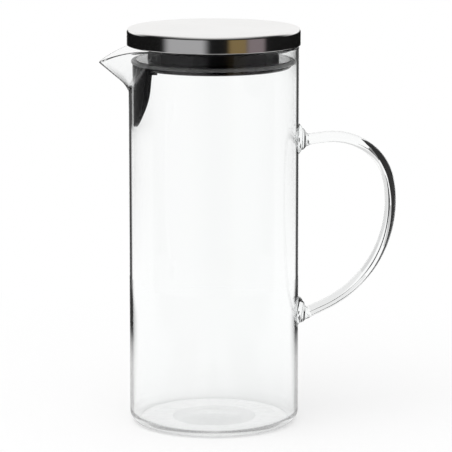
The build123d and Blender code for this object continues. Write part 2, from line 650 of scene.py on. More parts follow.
def finish_tree(tree: Tree, source: bpy.types.Node, geometry: Socket) -> None:
    """Ends a geometry tree: smooth faces, no instances, one material.

    Args:
        tree: The tree.
        source: Its input node.
        geometry: The geometry to hand on.
    """
    angle = tree.add("GeometryNodeInputMeshEdgeAngle").outputs[0]
    sharp = tree.add("FunctionNodeCompare", data_type="FLOAT", operation="GREATER_THAN")
    tree.put(sharp.inputs[0], angle)
    tree.put(sharp.inputs[1], CREASE_ANGLE)
    smooth = tree.add("GeometryNodeSetShadeSmooth", domain="FACE")
    tree.put(smooth.inputs["Geometry"], geometry)
    crease = tree.add("GeometryNodeSetShadeSmooth", domain="EDGE")
    tree.put(crease.inputs["Geometry"], smooth.outputs[0])
    tree.put(crease.inputs["Selection"], sharp.outputs[0])
    crease.inputs["Shade Smooth"].default_value = False
    real = tree.add("GeometryNodeRealizeInstances")
    tree.put(real.inputs[0], crease.outputs[0])
    paint = tree.add("GeometryNodeSetMaterial")
    tree.put(paint.inputs["Geometry"], real.outputs[0])
    tree.put(paint.inputs["Material"], source.outputs["Material"])
    output = tree.add("NodeGroupOutput")
    tree.put(output.inputs[0], paint.outputs[0])


def turned_tree() -> bpy.types.NodeTree:
    """Builds the tree that turns a section about the jug's axis.

    Returns:
        The tree.
    """
    numbers = {"Segments": TURN_SEGMENTS, "Guide Radius": TURN_GUIDE * MM, "Weld": MERGE_GAP}
    nodes, tree, source = group_tree("turned_piece", numbers)
    section = tree.add("GeometryNodeMeshToCurve")
    tree.put(section.inputs["Mesh"], source.outputs["Geometry"])
    ring = tree.add("GeometryNodeCurvePrimitiveCircle", mode="RADIUS")
    tree.put(ring.inputs["Resolution"], source.outputs["Segments"])
    tree.put(ring.inputs["Radius"], source.outputs["Guide Radius"])
    upright = tree.add("GeometryNodeSetCurveNormal")
    normal_mode = next((s for s in upright.inputs if s.name == "Mode"), None)
    if normal_mode is None:
        upright.mode = "Z_UP"
    else:
        normal_mode.default_value = "Z Up"
    tree.put(upright.inputs["Curve"], ring.outputs[0])
    turned = tree.add("GeometryNodeCurveToMesh")
    tree.put(turned.inputs["Curve"], upright.outputs[0])
    tree.put(turned.inputs["Profile Curve"], section.outputs[0])
    weld = tree.add("GeometryNodeMergeByDistance")
    tree.put(weld.inputs["Geometry"], turned.outputs[0])
    tree.put(weld.inputs["Distance"], source.outputs["Weld"])
    finish_tree(tree, source, weld.outputs[0])
    return nodes


def rod_tree() -> bpy.types.NodeTree:
    """Builds the tree that draws a rod along a line and fits its ends to the round wall.

    Returns:
        The tree.
    """
    nodes, tree, source = group_tree("drawn_rod", {"Sides": ROD_SIDES, "Wall Radius": GlassJug.radius * MM})
    line = tree.add("GeometryNodeMeshToCurve")
    tree.put(line.inputs["Mesh"], source.outputs["Geometry"])
    girth = tree.add("GeometryNodeInputNamedAttribute", data_type="FLOAT")
    girth.inputs["Name"].default_value = "girth"
    thick = tree.add("GeometryNodeSetCurveRadius")
    tree.put(thick.inputs["Curve"], line.outputs[0])
    tree.put(thick.inputs["Radius"], girth.outputs[0])
    ring = tree.add("GeometryNodeCurvePrimitiveCircle", mode="RADIUS")
    tree.put(ring.inputs["Resolution"], source.outputs["Sides"])
    ring.inputs["Radius"].default_value = 1.0
    swept = tree.add("GeometryNodeCurveToMesh")
    tree.put(swept.inputs["Curve"], thick.outputs[0])
    tree.put(swept.inputs["Profile Curve"], ring.outputs[0])
    swept.inputs["Fill Caps"].default_value = True
    scale = next((s for s in swept.inputs if s.name == "Scale"), None)
    if scale is not None:
        tree.put(scale, girth.outputs[0])
    conform = tree.add("GeometryNodeInputNamedAttribute", data_type="FLOAT")
    conform.inputs["Name"].default_value = "conform"
    across = tree.axes(tree.add("GeometryNodeInputPosition").outputs[0])["Y"]
    radius = source.outputs["Wall Radius"]
    spare = tree.math(Blend.SUBTRACT, tree.times(radius, radius), tree.times(across, across))
    sagitta = tree.math(Blend.SUBTRACT, radius, tree.math(Blend.SQRT, spare))
    shift = tree.add("ShaderNodeCombineXYZ")
    tree.put(shift.inputs["X"], tree.times(sagitta, conform.outputs[0], -1.0))
    fitted = tree.add("GeometryNodeSetPosition")
    tree.put(fitted.inputs["Geometry"], swept.outputs[0])
    tree.put(fitted.inputs["Offset"], shift.outputs[0])
    finish_tree(tree, source, fitted.outputs[0])
    return nodes


def run_tree(
    name: str,
    start: bpy.types.Mesh,
    nodes: bpy.types.NodeTree,
    settings: dict[str, Any],
) -> bpy.types.Object:
    """Runs a geometry tree on a mesh and keeps the result as a plain mesh.

    Args:
        name: The piece's name.
        start: The mesh that the tree reads.
        nodes: The tree.
        settings: Values for its named inputs.

    Returns:
        The finished object.
    """
    guide = new_object(name + "_guide", start)
    modifier = guide.modifiers.new("shape", "NODES")
    modifier.node_group = nodes
    for socket in nodes.interface.items_tree:
        if socket.item_type == "SOCKET" and socket.in_out == "INPUT" and socket.name in settings:
            modifier[socket.identifier] = settings[socket.name]
    bpy.context.view_layer.update()
    shaped = guide.evaluated_get(bpy.context.evaluated_depsgraph_get())
    mesh = bpy.data.meshes.new_from_object(shaped)
    guide.modifiers.remove(modifier)
    bpy.data.objects.remove(guide)
    mesh.name = name
    face_outwards(mesh)
    return new_object(name, mesh)


def face_outwards(mesh: bpy.types.Mesh) -> None:
    """Turns a closed mesh's faces outwards if they point in.

    Args:
        mesh: The mesh.
    """
    mesh.calc_loop_triangles()
    corners = np.zeros(len(mesh.loop_triangles) * 3, np.int32)
    mesh.loop_triangles.foreach_get("vertices", corners)
    places = np.zeros(len(mesh.vertices) * 3)
    mesh.vertices.foreach_get("co", places)
    a, b, c = places.reshape(-1, 3)[corners.reshape(-1, 3)].transpose(1, 0, 2)
    if float(np.einsum("ij,ij->", a, np.cross(b, c))) < 0.0:
        mesh.flip_normals()


def dress(thing: bpy.types.Object, body: Body, slot: Slot, *nodes: str) -> bpy.types.Object:
    """Puts a piece on its body, in place of the solids that it shows.

    Args:
        thing: The piece.
        body: The body that it rides on.
        slot: The record's material slot; not used.
        *nodes: The solids that it stands for.

    Returns:
        The piece.
    """
    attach(thing, body.value)
    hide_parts(*nodes)
    LOG.info("%s: %d faces on %s", thing.name, len(thing.data.polygons), body.value)
    return thing


@dataclass
class GlassJug:
    """The blown jug with its pulled spout, and the rod handle welded to it."""

    finish: ClearGlass = ClearGlass()
    # The straight wall and the base.
    radius: float = 52.5
    wall: float = 2.0
    rim_height: float = 235.6
    foot_radius: float = 7.0
    base_thickness: float = 3.0
    push_up_radius: float = 26.0
    push_up_depth: float = 1.2
    # The spout, and the rim that dips along it.
    spout_root: float = 209.7
    spout_flare: float = 1.19
    spout_tip_radius: float = 3.6
    spout_root_radius: float = 8.0
    spout_wall: float = 1.9
    spout_tuck: float = 0.4
    spout_blend: float = 5.36
    spout_narrow: float = 8.0
    least_tip: float = 1.2
    least_cosine: float = 0.2
    dip_start: float = 35.0
    dip_radius: float = 67.0
    # The net of points, crowded towards the spout.
    neck_height: float = 200.0
    columns: int = 384
    spout_focus: float = 0.22
    halvings: int = 40
    push_up_steps: int = 9
    floor_shares: tuple[float, ...] = (0.0, 0.3, 0.7, 0.95)
    foot_steps: int = 14
    shaft_span: tuple[float, float] = (0.06, 0.92)
    shaft_rows: int = 11
    shaft_top: float = 0.98
    neck_rows: int = 56
    rim_steps: int = 9
    slope_step: float = 0.05
    # The rod and its welds.
    rod_radius: float = 3.44
    weld_radius: float = 9.7
    weld_reach: float = 6.5
    weld_sink: float = 0.35
    weld_shape: float = 1.4
    weld_ripple: float = 0.3
    weld_waves: float = 2.5
    weld_steps: int = 36
    # The rod's line: a straight run, then bends of a radius and an angle each.
    grip_start: float = 177.4
    grip_rise: float = 8.0
    grip_run: float = 9.0
    grip_bends: tuple[tuple[float, float], ...] = ((38.0, 42.0), (32.0, 45.0), (72.3, 75.5))
    run_steps: int = 8
    bend_step: float = 1.5

    def reach(self, height: np.ndarray, start: float, root: float) -> np.ndarray:
        """Distance from the axis to the spout's ridge, easing out of the wall at the root.

        Args:
            height: Heights.
            start: The wall's radius.
            root: Where the straight ridge would leave the wall.

        Returns:
            The distances.
        """
        return start + soft_maximum(self.spout_flare * (height - root), 0.0, self.spout_blend)

    def ridge_radius(self, height: np.ndarray) -> np.ndarray:
        """Roundness of the spout's ridge, broad at the root and narrow at the lip.

        Args:
            height: Heights.

        Returns:
            The radii.
        """
        narrow = self.rim_height - self.spout_narrow
        rise = np.clip((height - self.spout_root) / (narrow - self.spout_root), 0.0, 1.0)
        return self.spout_tip_radius + (self.spout_root_radius - self.spout_tip_radius) * (1.0 - rise) ** 2

    def section(self, turn: np.ndarray, height: np.ndarray, inside: bool) -> np.ndarray:
        """Radius of one face of the glass, a tight outline round the wall and the spout's ridge.

        Args:
            turn: Angles from the spout.
            height: Heights.
            inside: Whether it is the inner face.

        Returns:
            The radii.
        """
        start = self.radius - (self.wall if inside else 0.0)
        inset = self.spout_wall * math.hypot(1.0, self.spout_flare) - self.wall
        root = self.spout_root + (inset / self.spout_flare if inside else 0.0)
        tip = self.ridge_radius(height) - (self.spout_wall if inside else 0.0)
        tip = np.maximum(tip, self.least_tip)
        throat = start - self.spout_tuck
        centre = self.reach(height, start, root) - tip
        angle = np.abs(turn)
        touch = np.arccos(np.clip((throat - tip) / centre, -1.0, 1.0))
        flank = throat / np.maximum(np.cos(angle - touch), self.least_cosine)
        tip_angle = np.arctan2(tip * np.sin(touch), centre + tip * np.cos(touch))
        spare = np.maximum(tip**2 - (centre * np.sin(angle)) ** 2, 0.0)
        ridge = centre * np.cos(angle) + np.sqrt(spare)
        outline = np.where(angle < tip_angle, ridge, np.where(angle < touch, flank, throat))
        return soft_maximum(outline, start, self.spout_tuck)

    def rim(self, turn: np.ndarray, inside: bool) -> np.ndarray:
        """Height of the rim, level round the jug and dipping along the spout.

        Args:
            turn: Angles from the spout.
            inside: Whether it is the inner edge.

        Returns:
            The heights.
        """
        low = np.full_like(turn, self.spout_root)
        high = np.full_like(turn, self.rim_height)
        for _ in range(self.halvings):
            middle = (low + high) / 2
            out = self.section(turn, middle, inside) * np.cos(turn) - self.dip_start
            arc = np.sqrt(np.maximum(self.dip_radius**2 - out**2, 0.0))
            drop = np.where(out > 0, self.dip_radius - arc, 0.0)
            under = middle < self.rim_height - drop
            low = np.where(under, middle, low)
            high = np.where(under, high, middle)
        return (low + high) / 2

    def foot(self, inside: bool) -> list[tuple[float, float]]:
        """Half of the base's section, from the axis out to the wall.

        Args:
            inside: Whether it is the inner face.

        Returns:
            Its points, each a radius and a height.
        """
        level = self.base_thickness if inside else 0.0
        bend = self.foot_radius - (self.wall if inside else 0.0)
        edge = self.radius - self.foot_radius
        points = []
        for step in range(1, self.push_up_steps):
            out = self.push_up_radius * step / self.push_up_steps
            dome = math.cos(math.pi / 2 * out / self.push_up_radius) ** 2
            points.append((out, level + self.push_up_depth * dome))
        flat = edge - self.push_up_radius
        points += [(self.push_up_radius + flat * share, level) for share in self.floor_shares]
        for step in range(self.foot_steps + 1):
            angle = math.pi / 2 * step / self.foot_steps
            points.append((edge + bend * math.sin(angle), level + bend * (1.0 - math.cos(angle))))
        return points

    def skin(
        self, turn: np.ndarray, inside: bool
    ) -> tuple[list[tuple[np.ndarray, np.ndarray]], np.ndarray, np.ndarray]:
        """Builds one face of the glass, from the base to where the rim's rounding starts.

        Args:
            turn: Angles from the spout.
            inside: Whether it is the inner face.

        Returns:
            Its rows, each of radii and heights, and its direction at the rim, outwards and upwards.
        """
        top = self.rim(turn, inside)
        below = top - self.slope_step
        slope = (self.section(turn, top, inside) - self.section(turn, below, inside)) / self.slope_step
        length = np.hypot(slope, 1.0)
        edge = top - self.wall / 2 / length
        rows = [(np.full_like(turn, r), np.full_like(turn, z)) for r, z in self.foot(inside)]
        low = rows[-1][1]
        start = np.full_like(turn, self.radius - (self.wall if inside else 0.0))
        climb = (*np.linspace(*self.shaft_span, self.shaft_rows), self.shaft_top)
        rows += [(start, low + (self.neck_height - low) * share) for share in climb]
        for share in np.linspace(0.0, 1.0, self.neck_rows):
            height = self.neck_height + (edge - self.neck_height) * share
            rows.append((self.section(turn, height, inside), height))
        return rows, slope / length, 1.0 / length

    def wall_mesh(self) -> bpy.types.Mesh:
        """Builds the jug as one closed skin, from the middle of its underside to that of its inner base.

        Returns:
            The mesh.
        """
        spread = np.linspace(-1.0, 1.0, self.columns, endpoint=False)
        turn = math.pi * (self.spout_focus * spread + (1.0 - self.spout_focus) * spread**3)
        outer, lean_out, up_out = self.skin(turn, False)
        inner, lean_in, up_in = self.skin(turn, True)
        (r_out, z_out), (r_in, z_in) = outer[-1], inner[-1]
        rows = list(outer)
        for step in range(1, self.rim_steps):
            angle = math.pi * step / self.rim_steps
            share = (1.0 - math.cos(angle)) / 2
            lean = lean_out * (1.0 - share) + lean_in * share
            up = up_out * (1.0 - share) + up_in * share
            bulge = self.wall / 2 * math.sin(angle)
            out = r_out + (r_in - r_out) * share + lean * bulge
            rows.append((out, z_out + (z_in - z_out) * share + up * bulge))
        rows += inner[::-1]
        places = [np.stack([-r * np.cos(turn), -r * np.sin(turn), z], axis=1) for r, z in rows]
        middle = [[0.0, 0.0, self.push_up_depth], [0.0, 0.0, self.base_thickness + self.push_up_depth]]
        points = np.concatenate([*places, np.array(middle)]) * MM
        count = self.columns
        under, over = len(points) - 2, len(points) - 1
        last = (len(rows) - 1) * count
        faces = grid_faces(len(rows), count, closed=True)
        faces += [(under, (c + 1) % count, c) for c in range(count)]
        faces += [(over, last + c, last + (c + 1) % count) for c in range(count)]
        mesh = bpy.data.meshes.new("jug_wall")
        mesh.from_pydata(points.tolist(), [], faces)
        mesh.polygons.foreach_set("use_smooth", [True] * len(mesh.polygons))
        mesh.update()
        face_outwards(mesh)
        return mesh

    def grip_line(self) -> list[tuple[float, float]]:
        """Middle line of the handle, from weld to weld.

        Returns:
            Points, each a distance from the axis and a height.
        """
        face = self.radius + self.weld_reach
        heading = math.radians(self.grip_rise)
        x, z = face, self.grip_start
        line = [(x, z)]
        step = self.grip_run / self.run_steps
        for _ in range(self.run_steps):
            x, z = x + step * math.cos(heading), z + step * math.sin(heading)
            line.append((x, z))
        for bend, degrees in self.grip_bends:
            pieces = round(degrees / self.bend_step)
            turn = math.radians(degrees) / pieces
            chord = 2 * bend * math.sin(turn / 2)
            for _ in range(pieces):
                x += chord * math.cos(heading - turn / 2)
                z += chord * math.sin(heading - turn / 2)
                heading -= turn
                line.append((x, z))
        run = (face - x) / math.cos(heading)
        for count in range(1, self.run_steps + 1):
            out = run * count / self.run_steps
            line.append((x + out * math.cos(heading), z + out * math.sin(heading)))
        return line

    def rod_mesh(self) -> bpy.types.Mesh:
        """Builds the handle's line, with the girth and fit of each point for the tree that draws the rod.

        Returns:
            A mesh of one open line.
        """
        grip = self.grip_line()
        depth = self.weld_reach + self.weld_sink
        ends = []
        for (x, z), (x_next, z_next) in ((grip[0], grip[1]), (grip[-1], grip[-2])):
            slope = (z_next - z) / (x_next - x)
            end = []
            for step in range(self.weld_steps):
                share = step / self.weld_steps
                out = -self.weld_sink + depth * share
                sway = slope * depth * (share**3 - share**2)
                end.append((self.radius + out, z + sway, max(out, 0.0)))
            ends.append(end)
        line = ends[0] + [(x, z, self.weld_reach) for x, z in grip] + ends[1][::-1]
        girth, conform = [], []
        for _, _, out in line:
            share = out / self.weld_reach
            flare = (self.weld_radius - self.rod_radius) * (1.0 - share) ** self.weld_shape
            wave = math.sin(math.pi * share) * math.sin(2 * math.pi * self.weld_waves * share)
            girth.append((self.rod_radius + flare + self.weld_ripple * wave) * MM)
            conform.append((1.0 - share) ** 2)
        mesh = bpy.data.meshes.new("handle_line")
        edges = [(i, i + 1) for i in range(len(line) - 1)]
        mesh.from_pydata([(x * MM, 0.0, z * MM) for x, z, _ in line], edges, [])
        mesh.attributes.new("girth", "FLOAT", "POINT").data.foreach_set("value", girth)
        mesh.attributes.new("conform", "FLOAT", "POINT").data.foreach_set("value", conform)
        return mesh

    def build(self) -> None:
        """Makes and dresses the jug and its handle."""
        line = self.grip_line()
        welds = Welds(self.radius, self.weld_radius, (line[0][1], line[-1][1]))
        glass = self.finish.material(welds)
        wall = new_object("jug_wall", self.wall_mesh())
        wall.data.materials.append(glass)
        dress(wall, Body.GLASS, Slot.GLASS, "glass_body")
        sunk = (self.radius - self.weld_sink) * MM
        settings = {"Sides": ROD_SIDES, "Wall Radius": sunk, "Material": glass}
        rod = run_tree("rod_handle", self.rod_mesh(), rod_tree(), settings)
        dress(rod, Body.GLASS, Slot.GLASS, "handle")


@dataclass(frozen=True)
class Edges:
    """Roundings of the lid's moulded edges, from the sharpest up."""

    joint: float = 0.1
    crisp: float = 0.2
    fine: float = 0.3
    soft: float = 0.4
    outer: float = 0.5
    inner: float = 0.6
    lip: float = 0.7
    root: float = 0.8
    full: float = 1.0


@dataclass
class Lid:
    """The lid: steel cap, black core and base plate, seal ring and pour tongue."""

    steel: PressedSteel = PressedSteel()
    plastic: MouldedPlastic = MouldedPlastic()
    polished: MouldedPlastic = MouldedPlastic("polished_moulding", specular=0.55)
    rubber: SoftSilicone = SoftSilicone()
    edges: Edges = Edges()
    # The core and the cap pressed over it.
    core_bottom: float = 235.8
    cap_bottom: float = 236.2
    cap_top: float = 246.6
    cap_radius: float = 53.6
    cap_sheet: float = 0.8
    cap_edge: float = 2.5
    cap_fit: float = 0.1
    cap_hem: float = 0.45
    core_gap: float = 0.02
    mould_wall: float = 2.4
    hub_radius: float = 40.1
    hub_bottom: float = 227.3
    # The base plate and the seal in its groove.
    plate_radius: float = 47.4
    plate_bottom: float = 222.3
    groove: tuple[float, float] = (225.2, 226.7)
    groove_depth: float = 2.2
    spigot_height: float = 2.5
    spigot_fit: float = 0.1
    seal_lip: tuple[float, float] = (224.9, 227.0)
    seal_radii: tuple[float, float, float] = (45.5, 47.7, 50.2)
    seal_play: float = 0.1
    # The tongue and its ledge.
    tongue_radius: float = 49.5
    tongue_top: float = 224.6
    tongue_tip: float = 185.8
    tongue_top_half: float = 29.0
    tongue_tip_half: float = 22.7
    tongue_corner: float = 22.0
    tongue_rows: int = 40
    tongue_columns: int = 49
    tongue_crowding: float = 1.5
    tongue_bevels: int = 3
    tongue_crease: float = 50.0
    ledge: tuple[float, float] = (44.0, 220.7)

    def turned(
        self, name: str, corners: Sequence[Corner], tree: bpy.types.NodeTree, finish: bpy.types.Material
    ) -> bpy.types.Object:
        """Turns one section into a piece.

        Args:
            name: The piece's name.
            corners: The section's corners.
            tree: The turning tree.
            finish: The material.

        Returns:
            The piece.
        """
        section = rounded_section(corners)
        mesh = bpy.data.meshes.new(name + "_section")
        edges = [(i, i + 1) for i in range(len(section) - 1)]
        if corners[0].radius > 0.0:
            edges.append((len(section) - 1, 0))
        mesh.from_pydata([((r - TURN_GUIDE) * MM, -z * MM, 0.0) for r, z in section], edges, [])
        settings = {"Segments": TURN_SEGMENTS, "Guide Radius": TURN_GUIDE * MM, "Material": finish}
        return run_tree(name, mesh, tree, settings)

    def cap_section(self) -> list[Corner]:
        """Section of the pressed cap, from the axis along its top, round the band and back inside.

        Returns:
            Its corners.
        """
        inside = self.cap_radius - self.cap_sheet
        under = self.cap_top - self.cap_sheet
        hem = self.cap_sheet * self.cap_hem
        return [
            Corner(0.0, self.cap_top),
            Corner(self.cap_radius, self.cap_top, self.cap_edge),
            Corner(self.cap_radius, self.cap_bottom, hem),
            Corner(inside, self.cap_bottom, hem),
            Corner(inside, under, self.cap_edge - self.cap_sheet),
            Corner(0.0, under),
        ]

    def core_section(self) -> list[Corner]:
        """Section of the core: a disc under the cap and a hollow hub.

        Returns:
            Its corners.
        """
        edges, wall = self.edges, self.mould_wall
        outer = self.cap_radius - self.cap_sheet - self.cap_fit
        under = self.cap_top - self.cap_sheet
        top = under - self.core_gap
        bore, rib = self.hub_radius - wall, self.hub_radius + wall
        return [
            Corner(0.0, top),
            Corner(rib, top, edges.soft),
            Corner(rib, self.core_bottom + wall, edges.inner),
            Corner(outer - wall, self.core_bottom + wall, edges.inner),
            Corner(outer - wall, top, edges.soft),
            Corner(outer, top, self.cap_edge),
            Corner(outer, self.core_bottom, edges.outer),
            Corner(self.hub_radius, self.core_bottom, edges.root),
            Corner(self.hub_radius, self.hub_bottom, edges.fine),
            Corner(bore, self.hub_bottom, edges.fine),
            Corner(bore, under - wall, edges.inner),
            Corner(0.0, under - wall),
        ]

    def plate_section(self) -> list[Corner]:
        """Section of the base plate: a flange with the seal's groove and a spigot into the hub.

        Returns:
            Its corners.
        """
        edges, wall = self.edges, self.mould_wall
        spigot = self.hub_radius - wall - self.spigot_fit
        top = self.hub_bottom + self.spigot_height
        groove = self.plate_radius - self.groove_depth
        low, high = self.groove
        return [
            Corner(0.0, self.plate_bottom),
            Corner(self.plate_radius, self.plate_bottom, edges.full),
            Corner(self.plate_radius, low, edges.crisp),
            Corner(groove, low, edges.crisp),
            Corner(groove, high, edges.crisp),
            Corner(self.plate_radius, high, edges.crisp),
            Corner(self.plate_radius, self.hub_bottom, edges.crisp),
            Corner(spigot, self.hub_bottom, edges.fine),
            Corner(spigot, top, edges.soft),
            Corner(spigot - wall, top, edges.soft),
            Corner(spigot - wall, self.plate_bottom + wall, edges.inner),
            Corner(0.0, self.plate_bottom + wall),
        ]

    def seal_section(self) -> list[Corner]:
        """Section of the seal ring: a root in the groove and a taller rounded lip.

        Returns:
            Its corners.
        """
        edges = self.edges
        root, lip, rim = self.seal_radii
        low, high = self.groove[0] + self.seal_play, self.groove[1] - self.seal_play
        bottom, top = self.seal_lip
        return [
            Corner(root, low, edges.crisp),
            Corner(lip, low, edges.joint),
            Corner(lip, bottom, edges.fine),
            Corner(rim, bottom, edges.lip),
            Corner(rim, top, edges.lip),
            Corner(lip, top, edges.fine),
            Corner(lip, high, edges.joint),
            Corner(root, high, edges.crisp),
        ]

    def tongue_half_width(self, height: np.ndarray) -> np.ndarray:
        """Half of the tongue's width, with its rounded lower corners.

        Args:
            height: Heights.

        Returns:
            The half widths.
        """
        length = self.tongue_top - self.tongue_tip
        lean = math.atan2(self.tongue_top_half - self.tongue_tip_half, length)
        straight = self.tongue_tip_half + (height - self.tongue_tip) * math.tan(lean)
        reach = self.tongue_corner / math.tan((math.pi / 2 + lean) / 2)
        middle = self.tongue_tip_half - reach
        up = height - (self.tongue_tip + self.tongue_corner)
        corner = middle + np.sqrt(np.maximum(self.tongue_corner**2 - up**2, 0.0))
        ends = self.tongue_tip + reach * math.cos(lean)
        return np.where(height < ends, corner, straight)

    def tongue_mesh(self) -> bpy.types.Mesh:
        """Builds the tongue as a curved sheet.

        Returns:
            The mesh, before its thickness.
        """
        length = self.tongue_top - self.tongue_tip
        shares = np.linspace(0.0, 1.0, self.tongue_rows) ** self.tongue_crowding
        heights = self.tongue_tip + length * shares
        across = np.linspace(-1.0, 1.0, self.tongue_columns)
        middle = (self.tongue_radius + self.plate_radius) / 2
        points = []
        for height in heights:
            for share in across:
                y = share * float(self.tongue_half_width(np.array(height)))
                points.append((-math.sqrt(middle**2 - y**2) * MM, y * MM, height * MM))
        mesh = bpy.data.meshes.new("pour_tongue_sheet")
        mesh.from_pydata(points, [], grid_faces(self.tongue_rows, self.tongue_columns))
        return mesh

    def ledge_mesh(self) -> bpy.types.Mesh:
        """Builds the ledge that seats the tongue under the plate.

        Returns:
            The mesh, a closed bar that follows the tongue's curve.
        """
        inner, bottom = self.ledge
        ring = ((inner, bottom), (self.plate_radius, bottom), (self.plate_radius, self.plate_bottom))
        ring += ((inner, self.plate_bottom),)
        half = float(self.tongue_half_width(np.array(bottom)))
        across = np.linspace(-half, half, self.tongue_columns)
        points = [(-math.sqrt(r**2 - y**2) * MM, y * MM, z * MM) for y in across for r, z in ring]
        count = len(ring)
        faces = [tuple(range(count)), tuple(range(len(points) - 1, len(points) - 1 - count, -1))]
        for start in range(0, len(points) - count, count):
            for side in range(count):
                first, second = start + side, start + (side + 1) % count
                faces.append((first, first + count, second + count, second))
        mesh = bpy.data.meshes.new("tongue_ledge")
        mesh.from_pydata(points, [], faces)
        return mesh

    def tongue(self, finish: bpy.types.Material) -> bpy.types.Object:
        """Gives the tongue its thickness, rounded edges and ledge.

        Args:
            finish: The material.

        Returns:
            The piece.
        """
        sheet = new_object("pour_tongue_sheet", self.tongue_mesh())
        thick = sheet.modifiers.new("thickness", "SOLIDIFY")
        thick.thickness = (self.tongue_radius - self.plate_radius) * MM
        thick.offset = 0.0
        round_edge = sheet.modifiers.new("edges", "BEVEL")
        round_edge.width = self.edges.lip * MM
        round_edge.segments = self.tongue_bevels
        round_edge.limit_method = "ANGLE"
        round_edge.angle_limit = math.radians(self.tongue_crease)
        bpy.context.view_layer.update()
        mesh = bpy.data.meshes.new_from_object(sheet.evaluated_get(bpy.context.evaluated_depsgraph_get()))
        bpy.data.objects.remove(sheet)
        mesh.name = "tongue"
        mesh.polygons.foreach_set("use_smooth", [True] * len(mesh.polygons))
        joined = bmesh.new()
        for half in (mesh, self.ledge_mesh()):
            joined.from_mesh(half)
        joined.to_mesh(mesh)
        joined.free()
        mesh.materials.clear()
        mesh.materials.append(finish)
        face_outwards(mesh)
        return new_object("tongue", mesh)

    def build(self) -> None:
        """Makes and dresses the lid's pieces."""
        tree = turned_tree()
        steel, plastic, rubber = self.steel.material(), self.plastic.material(), self.rubber.material()
        polished = self.polished.material()
        cap = self.turned("lid_cap", self.cap_section(), tree, steel)
        dress(cap, Body.LID, Slot.STEEL, "steel_cap")
        core = self.turned("lid_hub", self.core_section(), tree, plastic)
        dress(core, Body.LID, Slot.PLASTIC, "lid_core")
        plate = self.turned("hub_plate", self.plate_section(), tree, polished)
        dress(plate, Body.LID, Slot.PLASTIC, "base_plate")
        ring = self.turned("lip_seal", self.seal_section(), tree, rubber)
        dress(ring, Body.SEAL, Slot.SILICONE, "seal_ring")
        dress(self.tongue(plastic), Body.LID, Slot.PLASTIC, "pour_tongue")


@dataclass(frozen=True)
class Strip:
    """A glowing strip behind the handle that paints a dark or grey streak into the rod; only light through
    the rod meets it.

    Its outline lists places along the handle, each with the part of the rod in which the strip is seen there,
    from one edge to the other in rod radii from the middle, positive outwards.
    """

    tone: float
    outline: tuple[tuple[float, float, float], ...]


@dataclass(frozen=True)
class Card:
    """A card by the camera: its sides in degrees, how soft they are, and its colour."""

    start: float
    end: float
    soft: float
    tone: Colour


